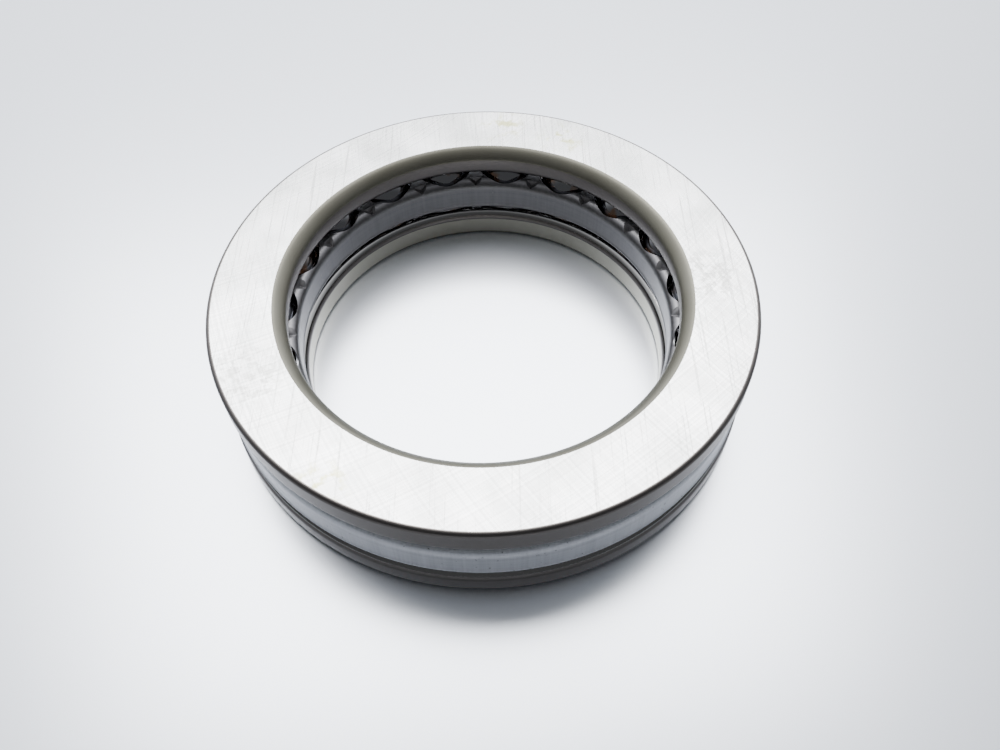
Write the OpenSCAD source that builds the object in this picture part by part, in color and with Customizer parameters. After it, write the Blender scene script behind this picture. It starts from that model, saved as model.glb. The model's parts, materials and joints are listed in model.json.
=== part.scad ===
// Single-direction thrust ball bearing: two grooved ring washers with one row of
// balls between them, spaced by a pressed steel cage. The axis is Z. The shaft
// washer's resting face is at z = 0, with the origin at its centre.

/* [Washers] */
// Bore diameter of the shaft washer
shaft_bore_d = 45; // [43:0.5:45.5]
// Bore diameter of the housing washer
housing_bore_d = 47; // [46:0.5:48]
// Outside diameter of both washers
outer_d = 65; // [65:0.5:67]
// Height of the bearing from resting face to resting face
height = 14; // [13.8:0.1:14.2]
// Thickness of each washer
washer_t = 3.95; // [3.6:0.05:4]
// Corner radius where the housing washer's bore meets its resting face
housing_bore_corner_r = 1.4; // [0.6:0.1:1.6]
// Corner radius where the housing washer's rim meets its resting face
housing_rim_corner_r = 0.55; // [0.3:0.05:1]
// Corner radius where the shaft washer's bore meets its resting face
shaft_bore_corner_r = 0.4; // [0.3:0.1:1.4]
// Corner radius where the shaft washer's rim meets its resting face
shaft_rim_corner_r = 1.2; // [0.5:0.1:1.4]
// Corner radius at both edges of each washer's raceway side
race_corner_r = 1.2; // [0.5:0.1:1.2]

/* [Balls] */
// Number of balls
ball_count = 19; // [15:1:19]
// Ball diameter
ball_d = 7.938; // [7.8:0.001:7.95]
// Angle of the first ball, counted from +X
first_ball_angle = 7.6; // [0:0.1:18]
// Clearance between a ball and the bottom of each groove
race_gap = 0.03; // [0.02:0.01:0.05]
// Groove radius as a share of the ball diameter
groove_share = 0.54; // [0.52:0.01:0.56]

/* [Cage] */
// Thickness of the cage's sheet steel
sheet_t = 0.6; // [0.5:0.05:0.65]
// Gap between a ball and each rim of the cage
rim_gap = 0.13; // [0.1:0.01:0.15]
// Height of the web's top above the ball centres
web_rise = 2.3; // [2.2:0.05:2.6]
// Depth of the inner rim's lip below the ball centres
inner_lip_drop = 2.2; // [1.6:0.1:2.3]
// Depth of the outer rim's lip below the ball centres
outer_lip_drop = 2.6; // [1.6:0.1:2.7]
// Outer radius of the bend between the web and each rim
bend_r = 1.3; // [1:0.1:1.5]
// Radius of the rolled bead along each lip
bead_r = 0.38; // [0.32:0.01:0.4]
// Diameter of a ball pocket
pocket_d = 8.4; // [8.3:0.05:8.6]
// Width of a ball pocket between its two flat sides, across the radius
pocket_w = 7.4; // [7.35:0.05:7.6]
// Distance from the ball circle to the pocket's centre, towards the bore
pocket_shift = 0.1; // [0:0.05:0.1]

/* [Hidden] */
$fn = 96;
ball_r = ball_d / 2;
ball_z = height / 2;
pitch_r = (shaft_bore_d + outer_d) / 4;
pocket_step = 360 / ball_count;
groove_r = groove_share * ball_d;
groove_z = ball_z - ball_r - race_gap + groove_r;
web_top_z = ball_z + web_rise;
inner_lip_z = ball_z - inner_lip_drop;
outer_lip_z = ball_z - outer_lip_drop;
rim_offset = ball_r + rim_gap + sheet_t;
cage_in_r = pitch_r - rim_offset;
cage_out_r = pitch_r + rim_offset;
// The pockets are cut from just above where the bends start, so the straight rims stay whole.
pocket_floor_z = web_top_z - bend_r + 0.15;

function ball_name(i) = str("ball_", i < 10 ? "0" : "", i);
function ball_angle(i) = first_ball_angle + (i - 1) * pocket_step;

// What a rounded corner removes from the square corner at the origin, which
// points away from side_x and side_y.
module corner_waste(r, side_x, side_y) {
  difference() {
    translate([side_x > 0 ? -1 : -r, side_y > 0 ? -1 : -r]) square(r + 1);
    translate([side_x * r, side_y * r]) circle(r);
  }
}

// Half section of a washer lying on its resting face, with the groove on top.
module washer_section(bore_r, in_corner_r, out_corner_r) {
  rim_r = outer_d / 2;
  difference() {
    translate([bore_r, 0]) square([rim_r - bore_r, washer_t]);
    translate([bore_r, 0]) corner_waste(in_corner_r, 1, 1);
    translate([rim_r, 0]) corner_waste(out_corner_r, -1, 1);
    translate([bore_r, washer_t]) corner_waste(race_corner_r, 1, -1);
    translate([rim_r, washer_t]) corner_waste(race_corner_r, -1, -1);
    translate([pitch_r, groove_z]) circle(groove_r);
  }
}

// Half section of a solid block with rounded top corners.
module block_section(in_r, out_r, low_z, top_z, corner_r) {
  side_h = top_z - corner_r - low_z;
  translate([in_r, low_z]) square([out_r - in_r, side_h]);
  translate([in_r + corner_r, low_z]) square([out_r - in_r - 2 * corner_r, side_h + corner_r]);
  for (x = [in_r + corner_r, out_r - corner_r])
    translate([x, top_z - corner_r]) circle(corner_r);
}

// Half section of the bent sheet: web, two rims, and a bead rolled along each lip.
module cage_section() {
  low_z = min(inner_lip_z, outer_lip_z);
  rims = [[cage_in_r, inner_lip_z], [cage_out_r - sheet_t, outer_lip_z]];
  difference() {
    block_section(cage_in_r, cage_out_r, low_z, web_top_z, bend_r);
    block_section(cage_in_r + sheet_t, cage_out_r - sheet_t, low_z - 1,
                  web_top_z - sheet_t, bend_r - sheet_t);
    for (rim = rims)
      translate([rim[0] - 1, low_z - 1]) square([sheet_t + 2, rim[1] + bead_r - low_z + 1]);
  }
  for (rim = rims)
    translate([rim[0] + sheet_t / 2, rim[1] + bead_r]) circle(bead_r);
}

// Round hole with two flat sides, long along the radius, that lets a ball stand through the web.
module pocket() {
  translate([pitch_r - pocket_shift, 0, pocket_floor_z])
    intersection() {
      cylinder(h = 2 * bend_r, d = pocket_d);
      translate([-pocket_d / 2, -pocket_w / 2, 0]) cube([pocket_d, pocket_w, 2 * bend_r]);
    }
}

module shaft_washer() {
  color("dimgray")
    rotate_extrude() washer_section(shaft_bore_d / 2, shaft_bore_corner_r, shaft_rim_corner_r);
}

module housing_washer() {
  color("gainsboro")
    translate([0, 0, height]) mirror([0, 0, 1])
      rotate_extrude() washer_section(housing_bore_d / 2, housing_bore_corner_r, housing_rim_corner_r);
}

module cage() {
  color("slategray")
    difference() {
      rotate_extrude() cage_section();
      for (i = [1:ball_count]) rotate([0, 0, ball_angle(i)]) pocket();
    }
}

module ball(i) {
  color("silver")
    rotate([0, 0, ball_angle(i)]) translate([pitch_r, 0, ball_z]) sphere(ball_r);
}

shaft_washer();
housing_washer();
cage();
for (i = [1:ball_count])
  ball(i);
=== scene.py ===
import json
import math

import bmesh
import bpy
from mathutils import Matrix, Vector


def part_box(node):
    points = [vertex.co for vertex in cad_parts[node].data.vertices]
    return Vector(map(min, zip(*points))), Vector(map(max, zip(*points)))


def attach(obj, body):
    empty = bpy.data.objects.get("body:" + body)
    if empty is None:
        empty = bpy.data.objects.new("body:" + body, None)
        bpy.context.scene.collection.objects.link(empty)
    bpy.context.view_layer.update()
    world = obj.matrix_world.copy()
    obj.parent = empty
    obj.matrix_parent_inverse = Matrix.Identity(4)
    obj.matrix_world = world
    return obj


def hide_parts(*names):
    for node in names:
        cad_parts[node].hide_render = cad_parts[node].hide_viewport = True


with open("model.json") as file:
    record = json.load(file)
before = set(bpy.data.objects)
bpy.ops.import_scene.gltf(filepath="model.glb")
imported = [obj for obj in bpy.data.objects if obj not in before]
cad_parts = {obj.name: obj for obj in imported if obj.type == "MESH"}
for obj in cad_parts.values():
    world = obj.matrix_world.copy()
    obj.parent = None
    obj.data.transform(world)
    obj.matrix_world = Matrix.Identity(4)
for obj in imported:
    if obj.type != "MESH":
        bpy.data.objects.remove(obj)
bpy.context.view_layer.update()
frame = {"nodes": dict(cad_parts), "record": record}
bpy.ops.object.select_all(action="DESELECT")

# ------------------------------------------------------------------ Shaft washer
# The lower ring, which turns with the shaft. Hardened bearing steel: turned on the
# rim, ground in the bore and on the face that it rests on, and its ball groove is
# ground and honed last. It is drawn as a half section and spun about the axis.

MM = 0.001
NEAR = 1e-6
ROUND_STEPS = 512
CORNER_STEPS = 8
GROOVE_STEPS = 32
ROUND_PROFILE = 0.5
shaft_bore_corner_r = 0.4 * MM
shaft_rim_corner_r = 1.2 * MM
race_corner_r = 1.2 * MM
groove_share = 0.54
race_gap = 0.03 * MM

mounts = {mount["name"]: mount for mount in frame["record"]["mounts"]}
shaft_bore_r = mounts["shaft_bore"]["dims"]["r_mm"] * MM
rim_r = mounts["housing_seat"]["dims"]["r_mm"] * MM
shaft_low, shaft_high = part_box("shaft_washer")
ball_low, ball_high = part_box("ball_01")
ball_centre = (ball_low + ball_high) / 2
ball_r = (ball_high.z - ball_low.z) / 2
pitch_r = ball_centre.xy.length
groove_r = groove_share * 2 * ball_r
groove_offset = groove_r - ball_r - race_gap


def add_section(name, low_r, high_r, low_z, high_z):
    """A rectangle in the XZ plane, as the blank of a half section, left in edit mode."""
    middle = ((low_r + high_r) / 2, 0, (low_z + high_z) / 2)
    bpy.ops.mesh.primitive_plane_add(size=1, location=middle, rotation=(math.pi / 2, 0, 0))
    piece = bpy.context.active_object
    piece.name = name
    piece.scale = (high_r - low_r, high_z - low_z, 1)
    bpy.ops.object.transform_apply(location=True, rotation=True, scale=True)
    bpy.ops.object.mode_set(mode="EDIT")
    return piece


def pick(piece, kind, test):
    """In edit mode, select only the vertices, edges or faces whose middle passes the test."""
    bpy.ops.mesh.select_mode(type=kind)
    bpy.ops.mesh.select_all(action="DESELECT")
    mesh = bmesh.from_edit_mesh(piece.data)
    for part in {"VERT": mesh.verts, "EDGE": mesh.edges, "FACE": mesh.faces}[kind]:
        corners = [part] if kind == "VERT" else part.verts
        if test(sum((corner.co for corner in corners), Vector()) / len(corners)):
            part.select_set(True)
    mesh.select_flush_mode()
    bmesh.update_edit_mesh(piece.data)


def pick_point(piece, at_r, at_z):
    """In edit mode, select the vertex at one place of a half section."""
    pick(piece, "VERT", lambda p: abs(p.x - at_r) < NEAR and abs(p.z - at_z) < NEAR)


def round_corner(piece, at_r, at_z, radius, profile=ROUND_PROFILE):
    """Turn a square corner of a half section into an arc; a lower profile is flatter."""
    pick_point(piece, at_r, at_z)
    bpy.ops.mesh.bevel(offset=radius, segments=CORNER_STEPS, affect="VERTICES", profile=profile)


def sweep_arc(piece, from_r, from_z, centre_r, centre_z, angle, steps):
    """Draw an arc in the half section from one of its points, anticlockwise if positive."""
    pick_point(piece, from_r, from_z)
    bpy.ops.mesh.spin(steps=steps, angle=angle, center=(centre_r, 0, centre_z), axis=(0, 1, 0))


def spin_section(steps):
    """Spin a closed half section once round the axis and close its seam, facing out."""
    bpy.ops.mesh.select_all(action="SELECT")
    bpy.ops.mesh.remove_doubles(threshold=NEAR)
    bpy.ops.mesh.spin(steps=steps, angle=2 * math.pi, center=(0, 0, 0), axis=(0, 0, 1))
    bpy.ops.mesh.select_all(action="SELECT")
    bpy.ops.mesh.remove_doubles(threshold=NEAR)
    bpy.ops.mesh.normals_make_consistent(inside=False)
    bpy.ops.object.mode_set(mode="OBJECT")


def smooth_surface(piece, angle):
    """Shade smooth up to an angle, with flat faces keeping their own direction."""
    bpy.ops.object.shade_smooth_by_angle(angle=angle)
    modifier = piece.modifiers.new("flat faces lead", "WEIGHTED_NORMAL")
    modifier.keep_sharp = True
    bpy.ops.object.modifier_apply(modifier=modifier.name)


def turn_washer(name, bore_r, face_z, race_z, bore_corner_r, rim_corner_r,
                bore_profile=ROUND_PROFILE):
    """A ring from its bore to the common rim, with the groove in the race side."""
    piece = add_section(name, bore_r, rim_r, min(face_z, race_z), max(face_z, race_z))
    round_corner(piece, bore_r, face_z, bore_corner_r, bore_profile)
    round_corner(piece, rim_r, face_z, rim_corner_r)
    round_corner(piece, bore_r, race_z, race_corner_r)
    round_corner(piece, rim_r, race_z, race_corner_r)
    up = 1 if race_z > face_z else -1
    groove_z = ball_centre.z + up * groove_offset
    half_width = math.sqrt(groove_r ** 2 - (groove_z - race_z) ** 2)
    for edge_r in (pitch_r - half_width, pitch_r + half_width):
        bpy.ops.mesh.select_all(action="SELECT")
        bpy.ops.mesh.bisect(plane_co=(edge_r, 0, 0), plane_no=(1, 0, 0))
    bpy.ops.mesh.select_all(action="SELECT")
    bpy.ops.mesh.delete(type="ONLY_FACE")
    pick(piece, "EDGE", lambda p: abs(p.x - pitch_r) < half_width + NEAR
         and abs(p.z - face_z) > NEAR)
    bpy.ops.mesh.delete(type="EDGE_FACE")
    arc = 2 * math.asin(half_width / groove_r)
    sweep_arc(piece, pitch_r - half_width, race_z, pitch_r, groove_z, up * arc, GROOVE_STEPS)
    spin_section(ROUND_STEPS)
    return piece


def linear(hex_colour):
    """An sRGB hex colour as the linear colour that a shader takes."""
    channels = [int(hex_colour[i:i + 2], 16) / 255 for i in (1, 3, 5)]
    return [c / 12.92 if c <= 0.04045 else ((c + 0.055) / 1.055) ** 2.4 for c in channels] + [1]


def add_node(tree, kind, settings, inputs):
    """Add a shader node, set its properties, and give its inputs their values or links."""
    node = tree.nodes.new(kind)
    for name, value in settings.items():
        setattr(node, name, value)
    for name, value in inputs.items():
        if isinstance(value, bpy.types.NodeSocket):
            tree.links.new(value, node.inputs[name])
        else:
            node.inputs[name].default_value = value
    return node


def start_metal(name, roughness):
    """A metal with one roughness: its node tree, its shader and its Object coordinates."""
    material = bpy.data.materials.new(name)
    material.use_nodes = True
    tree = material.node_tree
    shader = tree.nodes["Principled BSDF"]
    shader.inputs["Metallic"].default_value = 1
    shader.inputs["Roughness"].default_value = roughness
    place = add_node(tree, "ShaderNodeTexCoord", {}, {}).outputs["Object"]
    return material, tree, shader, place


def seen_along_axis(tree, place):
    """A point's place with its height left out, for a pattern that is drawn on a face."""
    flat = add_node(tree, "ShaderNodeVectorMath", {"operation": "MULTIPLY"},
                    {0: place, 1: (1, 1, 0)})
    return flat.outputs[0]


def raise_marks(tree, shader, height, strength, depth):
    """Let a pattern of marks catch the light, as if it were cut to this depth."""
    bump = add_node(tree, "ShaderNodeBump", {},
                    {"Height": height, "Strength": strength, "Distance": depth})
    tree.links.new(bump.outputs[0], shader.inputs["Normal"])


def add_tool_marks(tree, shader, place, along_face, along_axis, detail, strength):
    """Marks that a tool leaves, with their size along the face and along the axis."""
    marks_place = add_node(tree, "ShaderNodeMapping", {},
                           {"Vector": place,
                            "Scale": (1 / along_face, 1 / along_face, 1 / along_axis)})
    marks = add_node(tree, "ShaderNodeTexNoise", {},
                     {"Vector": marks_place.outputs[0], "Scale": 1.0, "Detail": detail})
    raise_marks(tree, shader, marks.outputs["Fac"], strength, 0.02 * MM)
    return marks.outputs["Fac"]


# Ground steel: the cup wheel leaves fine crossing arcs over the whole face, so it looks
# satin and almost white under the lamp. Handling adds fine scratches, two scuffed
# patches and a little dried preservative oil. Real arcs are 0.02 mm apart; they are
# drawn 0.3 mm apart, or they would not show.
ARC_GAP = 0.3 * MM
WHEEL_CENTRES = ((95 * MM, 40 * MM, 0), (-70 * MM, 90 * MM, 0))
SCRATCH_LIES = (math.radians(35), math.radians(-50))
SCRATCH_GAP = 0.35 * MM
SCRATCH_LENGTH = 16 * MM
SCUFF_PLACES = ((-26 * MM, -13 * MM, 0), (26.5 * MM, 1 * MM, 0))
OIL_PLACES = ((-16.5 * MM, -26.5 * MM, 0), (2.5 * MM, 29 * MM, 0), (10.5 * MM, 26 * MM, 0))
ground_steel, tree, shader, place = start_metal("ground_bearing_steel", 0.3)
flat_place = seen_along_axis(tree, place)
arc_height = 0
for wheel_centre in WHEEL_CENTRES:
    reach = add_node(tree, "ShaderNodeVectorMath", {"operation": "DISTANCE"},
                     {0: flat_place, 1: wheel_centre})
    arcs = add_node(tree, "ShaderNodeTexNoise", {"noise_dimensions": "1D"},
                    {"W": reach.outputs["Value"], "Scale": 1 / ARC_GAP, "Detail": 3.0})
    arc_height = add_node(tree, "ShaderNodeMath", {"operation": "ADD"},
                          {0: arc_height, 1: arcs.outputs["Fac"]}).outputs[0]
scratch_height = 0
for lie in SCRATCH_LIES:
    scratch_place = add_node(tree, "ShaderNodeMapping", {},
                             {"Vector": place, "Rotation": (0, 0, lie),
                              "Scale": (1 / SCRATCH_GAP, 1 / SCRATCH_LENGTH, 1)})
    scratches = add_node(tree, "ShaderNodeTexNoise", {"noise_dimensions": "2D"},
                         {"Vector": scratch_place.outputs[0], "Scale": 1.0, "Detail": 2.0})
    scratch_lines = add_node(tree, "ShaderNodeMapRange", {},
                             {"Value": scratches.outputs["Fac"],
                              "From Min": 0.64, "From Max": 0.74})
    scratch_height = add_node(tree, "ShaderNodeMath", {"operation": "ADD"},
                              {0: scratch_height, 1: scratch_lines.outputs[0]}).outputs[0]


def marks_near(tree, flat_place, places, far, near, pattern, low, high):
    """A mask that is full where a pattern runs high near one of the places on the face."""
    mask = 0
    for spot in places:
        gap = add_node(tree, "ShaderNodeVectorMath", {"operation": "DISTANCE"},
                       {0: flat_place, 1: spot})
        around = add_node(tree, "ShaderNodeMapRange", {"interpolation_type": "SMOOTHSTEP"},
                          {"Value": gap.outputs["Value"], "From Min": far, "From Max": near})
        mask = add_node(tree, "ShaderNodeMath", {"operation": "MAXIMUM"},
                        {0: mask, 1: around.outputs[0]}).outputs[0]
    broken = add_node(tree, "ShaderNodeMapRange", {"interpolation_type": "SMOOTHSTEP"},
                      {"Value": pattern, "From Min": low, "From Max": high})
    return add_node(tree, "ShaderNodeMath", {"operation": "MULTIPLY"},
                    {0: mask, 1: broken.outputs[0]}).outputs[0]


scuff_shape = add_node(tree, "ShaderNodeTexNoise", {},
                       {"Vector": place, "Scale": 1 / (0.9 * MM), "Detail": 3.0,
                        "Distortion": 0.6})
scuffs = marks_near(tree, flat_place, SCUFF_PLACES, 6 * MM, 2 * MM,
                    scuff_shape.outputs["Fac"], 0.42, 0.6)
oil_shape = add_node(tree, "ShaderNodeTexNoise", {},
                     {"Vector": place, "Scale": 1 / (1.3 * MM), "Detail": 3.0})
oil = marks_near(tree, flat_place, OIL_PLACES, 4 * MM, 1 * MM,
                 oil_shape.outputs["Fac"], 0.5, 0.66)
scuffed_height = add_node(tree, "ShaderNodeMath", {"operation": "MULTIPLY_ADD"},
                          {0: scuffs, 1: 2.0, 2: arc_height})
face_height = add_node(tree, "ShaderNodeMath", {"operation": "MULTIPLY_ADD"},
                       {0: scratch_height, 1: -1.2, 2: scuffed_height.outputs[0]})
raise_marks(tree, shader, face_height.outputs[0], 0.2, 0.02 * MM)
sheen_of_arcs = add_node(tree, "ShaderNodeMapRange", {},
                         {"Value": arc_height, "From Min": 0.7, "From Max": 1.3,
                          "To Min": 0.24, "To Max": 0.4})
tree.links.new(sheen_of_arcs.outputs[0], shader.inputs["Roughness"])
mottle = add_node(tree, "ShaderNodeTexNoise", {},
                  {"Vector": place, "Scale": 1 / (7 * MM), "Detail": 5.0})
mottle_mask = add_node(tree, "ShaderNodeMapRange", {},
                       {"Value": mottle.outputs["Fac"], "From Min": 0.35, "From Max": 0.65})
face_tone = add_node(tree, "ShaderNodeMix", {"data_type": "RGBA"},
                     {"Factor": mottle_mask.outputs[0],
                      "A": linear("#bfc0bf"), "B": linear("#dedede")})
scuff_tone = add_node(tree, "ShaderNodeMix", {"data_type": "RGBA"},
                      {"Factor": scuffs, "A": face_tone.outputs["Result"],
                       "B": linear("#adadab")})
scratch_tone = add_node(tree, "ShaderNodeMix", {"data_type": "RGBA"},
                        {"Factor": scratch_height, "A": scuff_tone.outputs["Result"],
                         "B": linear("#b4b4b3")})
face_colour = add_node(tree, "ShaderNodeMix", {"data_type": "RGBA"},
                       {"Factor": oil, "A": scratch_tone.outputs["Result"],
                        "B": linear("#b5b48e")})
tree.links.new(face_colour.outputs["Result"], shader.inputs["Base Color"])

# Turned steel: fine rings left by the lathe round the rims and in the wider bore, darkened
# to brown-grey by the hardening furnace, so these sides look much darker than the faces.
# Real rings are 0.05 mm apart; they are drawn 0.25 mm apart, or they would not show.
RING_GAP = 0.25 * MM
turned_steel, tree, shader, place = start_metal("turned_hardened_steel", 0.3)
add_tool_marks(tree, shader, place, 30 * MM, RING_GAP, 3.0, 0.15)
temper = add_node(tree, "ShaderNodeTexNoise", {},
                  {"Vector": place, "Scale": 1 / (9 * MM), "Detail": 3.0})
side_colour = add_node(tree, "ShaderNodeMix", {"data_type": "RGBA"},
                       {"Factor": temper.outputs["Fac"],
                        "A": linear("#6a6562"), "B": linear("#797573")})
tree.links.new(side_colour.outputs["Result"], shader.inputs["Base Color"])

# Quenched skin: the round corners at the bores are never ground. They keep their lathe
# skin and the olive haze of the quenching oil, and are rough enough to look pale and
# even all the way round.
corner_skin, tree, shader, place = start_metal("quenched_lathe_skin", 0.45)
add_tool_marks(tree, shader, place, 25 * MM, RING_GAP, 3.0, 0.15)
haze = add_node(tree, "ShaderNodeTexNoise", {},
                {"Vector": place, "Scale": 1 / (5 * MM), "Detail": 4.0})
corner_colour = add_node(tree, "ShaderNodeMix", {"data_type": "RGBA"},
                         {"Factor": haze.outputs["Fac"],
                          "A": linear("#777569"), "B": linear("#88867c")})
tree.links.new(corner_colour.outputs["Result"], shader.inputs["Base Color"])

# Ground bore: the bore that grips the shaft is ground to size with a small wheel, so it
# is paler than the turned corner above it, with a faint film of oil. Its rings are finer
# than the lathe's: 0.02 mm apart, and drawn 0.15 mm apart, or they would not show.
BORE_RING_GAP = 0.15 * MM
bore_steel, tree, shader, place = start_metal("ground_bore_steel", 0.42)
add_tool_marks(tree, shader, place, 12 * MM, BORE_RING_GAP, 3.0, 0.1)
film = add_node(tree, "ShaderNodeTexNoise", {},
                {"Vector": place, "Scale": 1 / (5 * MM), "Detail": 4.0})
bore_colour = add_node(tree, "ShaderNodeMix", {"data_type": "RGBA"},
                       {"Factor": film.outputs["Fac"],
                        "A": linear("#b2b0a2"), "B": linear("#c4c2b7")})
tree.links.new(bore_colour.outputs["Result"], shader.inputs["Base Color"])

# Honed steel: the groove is the smoothest surface of a ring. It is close to a mirror,
# with only the finest rings from the stone along the path of the balls. Real ones are
# 0.01 mm apart; they are drawn 0.2 mm apart, or they would not show.
HONING_GAP = 0.2 * MM
honed_steel, tree, shader, place = start_metal("honed_raceway_steel", 0.12)
shader.inputs["Base Color"].default_value = linear("#a9a8a6")
axis_reach = add_node(tree, "ShaderNodeVectorMath", {"operation": "LENGTH"},
                      {0: seen_along_axis(tree, place)})
honing = add_node(tree, "ShaderNodeTexNoise", {"noise_dimensions": "1D"},
                  {"W": axis_reach.outputs["Value"], "Scale": 1 / HONING_GAP, "Detail": 2.0})
raise_marks(tree, shader, honing.outputs["Fac"], 0.05, 0.01 * MM)

TURNED, GROUND, HONED, CORNER, WALL = range(5)
# On the race side, a surface that is less steep than this belongs to the groove.
GROOVE_UPRIGHT = 0.6


def finish_washer(piece, bore_r, face_z, race_z, bore_corner_r, wall_steel):
    """Give a ring its finishes by place, and shade it with a crisp edge round its face."""
    for material in (turned_steel, ground_steel, honed_steel, corner_skin, wall_steel):
        piece.data.materials.append(material)
    thickness = abs(race_z - face_z)
    corner_edge_r = bore_r + bore_corner_r
    for face in piece.data.polygons:
        out_r = face.center.xy.length
        depth = abs(face.center.z - face_z)
        if depth < NEAR:
            face.material_index = GROUND
        elif depth > thickness / 2 and abs(face.normal.z) > GROOVE_UPRIGHT:
            face.material_index = HONED
        elif depth < bore_corner_r and out_r < corner_edge_r:
            face.material_index = CORNER
        elif depth < thickness - race_corner_r and out_r < bore_r + NEAR:
            face.material_index = WALL
        else:
            face.material_index = TURNED
    bpy.ops.object.mode_set(mode="EDIT")
    pick(piece, "EDGE", lambda p: abs(p.z - face_z) < NEAR
         and abs(p.xy.length - corner_edge_r) < 10 * NEAR)
    bpy.ops.mesh.mark_sharp()
    bpy.ops.object.mode_set(mode="OBJECT")
    smooth_surface(piece, math.radians(30))


shaft_washer = turn_washer("lower_ring", shaft_bore_r, shaft_low.z, shaft_high.z,
                           shaft_bore_corner_r, shaft_rim_corner_r)
finish_washer(shaft_washer, shaft_bore_r, shaft_low.z, shaft_high.z,
              shaft_bore_corner_r, bore_steel)
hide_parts("shaft_washer")
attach(shaft_washer, "shaft_side")

# ---------------------------------------------------------------- Housing washer
# The upper ring, which sits in the housing. The same steel and the same work as the
# lower ring, turned over, with a bore 2 mm wider so that the shaft clears it. Grinding
# its face cuts into the large round corner at the bore, which leaves a crisp edge.

# The profile of a bevel: 0.5 is a true round, and a lower one is flatter.
GROUND_OFF_PROFILE = 0.34
housing_bore_corner_r = 1.4 * MM
housing_rim_corner_r = 0.55 * MM
housing_bore_r = mounts["housing_washer_bore"]["dims"]["r_mm"] * MM
housing_low, housing_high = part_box("housing_washer")
housing_washer = turn_washer("upper_ring", housing_bore_r, housing_high.z, housing_low.z,
                             housing_bore_corner_r, housing_rim_corner_r, GROUND_OFF_PROFILE)
finish_washer(housing_washer, housing_bore_r, housing_high.z, housing_low.z,
              housing_bore_corner_r, turned_steel)
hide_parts("housing_washer")
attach(housing_washer, "housing_side")

# ---------------------------------------------------------------------- Cage
# One channel pressed from mild steel sheet, open below, that keeps the balls apart.
# Its ball pockets are pierced through the web, its lips are rolled over, and a small
# dent is punched into the inner bend at each bridge, to hold the balls in.

SHEET_T = 0.6 * MM
BEND_R = 1.3 * MM
BEAD_R = 0.38 * MM
BEAD_STEPS = 18
OUTER_LIP_DROP = 0.4 * MM
CAGE_STEPS_PER_POCKET = 28

cage_low, cage_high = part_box("cage")
ball_names = sorted(name for name in frame["nodes"] if name.startswith("ball_"))
ball_count = len(ball_names)
pocket_step = 2 * math.pi / ball_count
first_angle = math.atan2(ball_centre.y, ball_centre.x)
cage_out_r = cage_high.x + SHEET_T / 2 - BEAD_R
cage_in_r = 2 * pitch_r - cage_out_r
bead_join = math.sqrt(BEAD_R ** 2 - (SHEET_T / 2) ** 2)
outer_bead_z = cage_low.z + BEAD_R
inner_bead_z = outer_bead_z + OUTER_LIP_DROP


def add_channel(name, low_r, high_r, high_z, bend_r):
    """One side of the bent sheet in half section: two rims and the web, with round bends."""
    lip_z = outer_bead_z + bead_join
    piece = add_section(name, low_r, high_r, lip_z, high_z)
    round_corner(piece, low_r, high_z, bend_r)
    round_corner(piece, high_r, high_z, bend_r)
    bpy.ops.mesh.select_all(action="SELECT")
    bpy.ops.mesh.delete(type="ONLY_FACE")
    pick(piece, "EDGE", lambda p: abs(p.z - lip_z) < NEAR)
    bpy.ops.mesh.delete(type="EDGE_FACE")
    pick(piece, "VERT", lambda p: abs(p.x - low_r) < NEAR and p.z < lip_z + NEAR)
    bpy.ops.transform.translate(value=(0, 0, OUTER_LIP_DROP))
    bpy.ops.object.mode_set(mode="OBJECT")
    return piece


def select_only(*pieces):
    """Select these objects, with the first one active."""
    bpy.ops.object.select_all(action="DESELECT")
    for piece in pieces:
        piece.select_set(True)
    bpy.context.view_layer.objects.active = pieces[0]


cage = add_channel("pressed_cage", cage_in_r, cage_out_r, cage_high.z, BEND_R)
inside = add_channel("inside", cage_in_r + SHEET_T, cage_out_r - SHEET_T,
                     cage_high.z - SHEET_T, BEND_R - SHEET_T)
select_only(cage, inside)
bpy.ops.object.join()
bpy.ops.object.mode_set(mode="EDIT")
bead_arc = 2 * math.pi - 2 * math.asin(SHEET_T / 2 / BEAD_R)
for side_r, bead_z in ((cage_in_r, inner_bead_z), (cage_out_r - SHEET_T, outer_bead_z)):
    sweep_arc(cage, side_r, bead_z + bead_join, side_r + SHEET_T / 2, bead_z, bead_arc,
              BEAD_STEPS)
spin_section(ball_count * CAGE_STEPS_PER_POCKET)

# Pressed sheet: cold-rolled mild steel, a satin grey. The die leaves streaks up the rims
# and faint rings at each step of the draw, with small dark specks of scale and oil.
# The inner rim, which stands in the shaded bore, is painted much darker than the outer rim:
# painted shade.
# Real streaks are 0.05 mm apart; they are drawn 0.3 mm apart, or they would not show.
STREAK_GAP = 0.3 * MM
STREAK_LENGTH = 14 * MM
DRAW_RING_GAP = 0.6 * MM
pressed_steel, tree, shader, place = start_metal("pressed_sheet_steel", 0.42)
streak_place = add_node(tree, "ShaderNodeMapping", {},
                        {"Vector": place,
                         "Scale": (1 / STREAK_GAP, 1 / STREAK_GAP, 1 / STREAK_LENGTH)})
streaks = add_node(tree, "ShaderNodeTexNoise", {},
                   {"Vector": streak_place.outputs[0], "Scale": 1.0, "Detail": 3.0})
height_up = add_node(tree, "ShaderNodeSeparateXYZ", {}, {"Vector": place}).outputs["Z"]
draw_rings = add_node(tree, "ShaderNodeTexNoise", {"noise_dimensions": "1D"},
                      {"W": height_up, "Scale": 1 / DRAW_RING_GAP, "Detail": 3.0})
press_marks = add_node(tree, "ShaderNodeMath", {"operation": "ADD"},
                       {0: streaks.outputs["Fac"], 1: draw_rings.outputs["Fac"]}).outputs[0]
raise_marks(tree, shader, press_marks, 0.1, 0.02 * MM)
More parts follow.
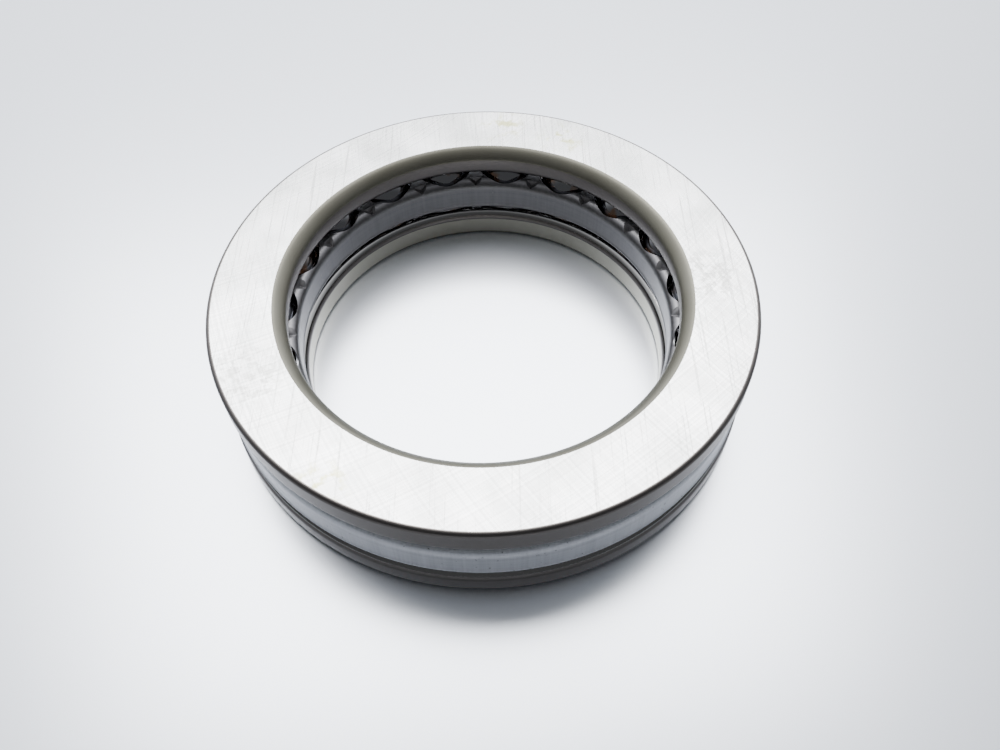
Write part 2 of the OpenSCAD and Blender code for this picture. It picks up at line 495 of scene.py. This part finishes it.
sheet_sheen = add_node(tree, "ShaderNodeMapRange", {},
                       {"Value": press_marks, "From Min": 0.7, "From Max": 1.3,
                        "To Min": 0.34, "To Max": 0.5})
tree.links.new(sheet_sheen.outputs[0], shader.inputs["Roughness"])
mark_tone = add_node(tree, "ShaderNodeMapRange", {},
                     {"Value": press_marks, "From Min": 0.7, "From Max": 1.3})
# Painted shade: the inner rim's tone is much darker than the outer rim's, for the shade in the
# bore.
shaded_inner_tone = add_node(tree, "ShaderNodeMix", {"data_type": "RGBA"},
                      {"Factor": mark_tone.outputs[0],
                       "A": linear("#7c7b7d"), "B": linear("#8b8a8c")})
outer_tone = add_node(tree, "ShaderNodeMix", {"data_type": "RGBA"},
                      {"Factor": mark_tone.outputs[0],
                       "A": linear("#c6c8cd"), "B": linear("#dbdde2")})
axis_reach = add_node(tree, "ShaderNodeVectorMath", {"operation": "LENGTH"},
                      {0: seen_along_axis(tree, place)})
# Painted shade: full at the inner rim and fading out towards the outer rim.
shade_fades_outward = add_node(tree, "ShaderNodeMapRange", {"interpolation_type": "SMOOTHSTEP"},
                  {"Value": axis_reach.outputs["Value"],
                   "From Min": 24.5 * MM, "From Max": 31 * MM})
sheet_tone = add_node(tree, "ShaderNodeMix", {"data_type": "RGBA"},
                      {"Factor": shade_fades_outward.outputs[0], "A": shaded_inner_tone.outputs["Result"],
                       "B": outer_tone.outputs["Result"]})
specks = add_node(tree, "ShaderNodeTexNoise", {},
                  {"Vector": place, "Scale": 1 / (0.5 * MM), "Detail": 1.0})
speck_mask = add_node(tree, "ShaderNodeMapRange", {},
                      {"Value": specks.outputs["Fac"], "From Min": 0.7, "From Max": 0.8})
sheet_colour = add_node(tree, "ShaderNodeMix", {"data_type": "RGBA"},
                        {"Factor": speck_mask.outputs[0], "A": sheet_tone.outputs["Result"],
                         "B": linear("#8e8d90")})
tree.links.new(sheet_colour.outputs["Result"], shader.inputs["Base Color"])

# Sheared edge: the punch burnishes the cut edge of a pocket as it goes through, so it
# shines brighter than the sheet round it, with fine marks in the way the punch moved.
# Real marks are 0.02 mm apart; they are drawn 0.2 mm apart, or they would not show.
sheared_steel, tree, shader, place = start_metal("sheared_sheet_edge", 0.28)
shear_marks = add_tool_marks(tree, shader, place, 0.2 * MM, 2 * MM, 2.0, 0.2)
shear_colour = add_node(tree, "ShaderNodeMix", {"data_type": "RGBA"},
                        {"Factor": shear_marks,
                         "A": linear("#c3c5ca"), "B": linear("#dcdee2")})
tree.links.new(shear_colour.outputs["Result"], shader.inputs["Base Color"])

SHEET, SHEARED = range(2)


def give_sheet_finishes(piece):
    """The cage and its cutters hold the same two finishes, so each cut keeps its own."""
    for material in (pressed_steel, sheared_steel):
        piece.data.materials.append(material)


def ring_of_cutters():
    """Copy the edit-mode mesh once for each pocket, round the axis."""
    bpy.ops.mesh.select_all(action="SELECT")
    for _ in range(ball_count - 1):
        bpy.ops.mesh.duplicate()
        bpy.ops.transform.rotate(value=pocket_step, orient_axis="Z", center_override=(0, 0, 0))
    bpy.ops.mesh.select_all(action="SELECT")
    bpy.ops.mesh.normals_make_consistent(inside=False)
    bpy.ops.object.mode_set(mode="OBJECT")


def cut_from_cage(cutter, turn):
    """Turn the cutters to their angle, take them out of the cage and clear them away."""
    cutter.rotation_euler = (0, 0, turn)
    select_only(cutter)
    bpy.ops.object.transform_apply(rotation=True)
    select_only(cage)
    modifier = cage.modifiers.new("cut", "BOOLEAN")
    modifier.operation = "DIFFERENCE"
    modifier.solver = "EXACT"
    modifier.object = cutter
    bpy.ops.object.modifier_apply(modifier=modifier.name)
    bpy.data.objects.remove(cutter)


give_sheet_finishes(cage)

# The piercing punch: round, with a flat ground on two sides, and set a little towards
# the bore. It stops above the seams of the bends, so that the rims stay whole.
POCKET_D = 8.4 * MM
POCKET_W = 7.4 * MM
POCKET_SHIFT = 0.15 * MM
POCKET_ABOVE_BEND = 0.15 * MM
PUNCH_SIDES = 128
punch_low_z = cage_high.z - BEND_R + POCKET_ABOVE_BEND
bpy.ops.mesh.primitive_cylinder_add(vertices=PUNCH_SIDES, radius=POCKET_D / 2,
                                    depth=2 * BEND_R,
                                    location=(pitch_r - POCKET_SHIFT, 0, punch_low_z + BEND_R))
punch = bpy.context.active_object
bpy.ops.object.transform_apply(location=True)
bpy.ops.object.mode_set(mode="EDIT")
for side in (-1, 1):
    pick(punch, "VERT", lambda p: p.y * side > POCKET_W / 2)
    bpy.ops.transform.resize(value=(1, 0, 1), center_override=(0, side * POCKET_W / 2, 0))
ring_of_cutters()
give_sheet_finishes(punch)
for face in punch.data.polygons:
    face.material_index = SHEARED
cut_from_cage(punch, first_angle)

# The denting punch: a blunt three-sided point, one corner down, that meets the bend from
# the bore and from above.
DENT_DEPTH = 0.45 * MM
DENT_W = 2.6 * MM
DENT_LENGTH = 1.2 * MM
DENT_TILT = math.radians(62)
dent_way = Vector((math.cos(DENT_TILT), 0, -math.sin(DENT_TILT)))
bend_centre = Vector((cage_in_r + BEND_R, 0, cage_high.z - BEND_R))
dent_middle = bend_centre - (BEND_R - DENT_DEPTH + DENT_LENGTH / 2) * dent_way
dent_base_r = DENT_LENGTH * DENT_W / 2 / DENT_DEPTH
bpy.ops.mesh.primitive_cone_add(vertices=3, radius1=dent_base_r, radius2=0, depth=DENT_LENGTH)
dent = bpy.context.active_object
dent.matrix_world = (Matrix.Translation(dent_middle)
                     @ Matrix.Rotation(math.pi / 2 + DENT_TILT, 4, "Y")
                     @ Matrix.Rotation(-math.pi / 2, 4, "Z"))
bpy.ops.object.transform_apply(location=True, rotation=True)
bpy.ops.object.mode_set(mode="EDIT")
ring_of_cutters()
give_sheet_finishes(dent)
for face in dent.data.polygons:
    face.material_index = SHEET
cut_from_cage(dent, first_angle + pocket_step / 2)
select_only(cage)
smooth_surface(cage, math.radians(32))
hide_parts("cage")
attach(cage, "cage")

# ---------------------------------------------------------------------- Balls
# Nineteen rolling balls of through-hardened chrome steel, ground and lapped until they
# are mirrors. They lie loose in the pockets, between the two grooves.

# Lapped steel: a mirror, broken only by the finest lapping haze. Patches of it are tinted
# amber, so some of its glints come out copper-coloured. The real haze is under 0.01 mm
# across; it is drawn 0.2 mm across, or it would not show.
HAZE_GRAIN = 0.2 * MM
lapped_steel, tree, shader, place = start_metal("lapped_chrome_steel", 0.06)
haze = add_node(tree, "ShaderNodeTexNoise", {},
                {"Vector": place, "Scale": 1 / HAZE_GRAIN, "Detail": 2.0})
raise_marks(tree, shader, haze.outputs["Fac"], 0.04, 0.005 * MM)
# Patches of amber tint in the ball's colour, which make some glints copper-coloured.
film = add_node(tree, "ShaderNodeTexNoise", {},
                {"Vector": place, "Scale": 1 / (2.2 * MM), "Detail": 2.0})
amber_patch_mask = add_node(tree, "ShaderNodeMapRange", {"interpolation_type": "SMOOTHSTEP"},
                     {"Value": film.outputs["Fac"], "From Min": 0.52, "From Max": 0.66})
ball_colour = add_node(tree, "ShaderNodeMix", {"data_type": "RGBA"},
                       {"Factor": amber_patch_mask.outputs[0],
                        "A": linear("#a9a9ac"), "B": linear("#a88c78")})
tree.links.new(ball_colour.outputs["Result"], shader.inputs["Base Color"])

BALL_CUTS = 19
bpy.ops.object.select_all(action="DESELECT")
bpy.ops.mesh.primitive_cube_add(size=2 * ball_r)
first_ball = bpy.context.active_object
bpy.ops.object.mode_set(mode="EDIT")
bpy.ops.mesh.subdivide(number_cuts=BALL_CUTS)
bpy.ops.object.mode_set(mode="OBJECT")
modifier = first_ball.modifiers.new("round", "CAST")
modifier.factor = 1
modifier.use_radius_as_size = False
modifier.size = ball_r
bpy.ops.object.modifier_apply(modifier=modifier.name)
bpy.ops.object.shade_smooth()
first_ball.data.materials.append(lapped_steel)

for name in ball_names:
    low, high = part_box(name)
    select_only(first_ball)
    bpy.ops.object.duplicate()
    ball = bpy.context.active_object
    ball.name = "lapped_" + name
    ball.location = (low + high) / 2
    bpy.ops.object.transform_apply(location=True)
    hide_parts(name)
    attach(ball, name)
bpy.data.objects.remove(first_ball)

# ------------------------------------------------------------- Floor, light, camera
# A plain pale satin floor and one large soft lamp high behind the bearing, in a room
# that is bright behind and dim in front. The camera looks down over the bearing's front.

bpy.ops.mesh.primitive_plane_add(size=6)
floor = bpy.context.active_object
floor.name = "floor"
floor_material = bpy.data.materials.new("satin_floor")
floor_material.use_nodes = True
floor_shader = floor_material.node_tree.nodes["Principled BSDF"]
floor_shader.inputs["Base Color"].default_value = linear("#dee2e9")
floor_shader.inputs["Metallic"].default_value = 0.72
floor_shader.inputs["Roughness"].default_value = 0.3
floor.data.materials.append(floor_material)

LAMP_ELEVATION = math.radians(62)
LAMP_DISTANCE = 1.0
LAMP_SIDEWAYS = -0.05
lamp_centre = Vector((LAMP_SIDEWAYS, LAMP_DISTANCE * math.cos(LAMP_ELEVATION),
                      LAMP_DISTANCE * math.sin(LAMP_ELEVATION)))
bpy.ops.object.light_add(type="AREA", location=lamp_centre)
lamp = bpy.context.active_object
lamp.data.shape = "RECTANGLE"
lamp.data.size = 0.9
lamp.data.size_y = 0.6
lamp.data.energy = 17
lamp.rotation_euler = (-lamp_centre).to_track_quat("-Z", "Y").to_euler()

# The room is brightest in one direction, high behind the bearing, and fades away from it.
BRIGHT_WAY = Vector((-0.05, 0.82, 0.57)).normalized()
ROOM_DIM = 0.12
ROOM_BRIGHT = 3.6
room = bpy.data.worlds.new("surround")
bpy.context.scene.world = room
room.use_nodes = True
sky_way = add_node(room.node_tree, "ShaderNodeTexCoord", {}, {}).outputs["Generated"]
towards = add_node(room.node_tree, "ShaderNodeVectorMath", {"operation": "DOT_PRODUCT"},
                   {0: sky_way, 1: BRIGHT_WAY})
nearness = add_node(room.node_tree, "ShaderNodeMapRange", {},
                    {"Value": towards.outputs["Value"], "From Min": -0.25, "From Max": 1.0})
falloff = add_node(room.node_tree, "ShaderNodeMath", {"operation": "POWER"},
                   {0: nearness.outputs[0], 1: 3.0})
brightness = add_node(room.node_tree, "ShaderNodeMapRange", {},
                      {"Value": falloff.outputs[0], "To Min": ROOM_DIM, "To Max": ROOM_BRIGHT})
background = room.node_tree.nodes["Background"]
background.inputs["Color"].default_value = linear("#eef1f6")
room.node_tree.links.new(brightness.outputs[0], background.inputs["Strength"])

CAMERA_PLACE = Vector((1.82, -68.77, 91.37)) * MM
CAMERA_TILT = math.radians(35.64)
CAMERA_ROLL = math.radians(-0.76)
bpy.ops.object.camera_add(location=CAMERA_PLACE)
camera = bpy.context.active_object
camera_turn = Matrix.Rotation(CAMERA_TILT, 3, "X") @ Matrix.Rotation(CAMERA_ROLL, 3, "Z")
camera.rotation_euler = camera_turn.to_euler()
camera.data.lens = 31.29
camera.data.sensor_width = 36
camera.data.clip_start = 5 * MM
camera.data.clip_end = 20
bpy.context.scene.camera = camera
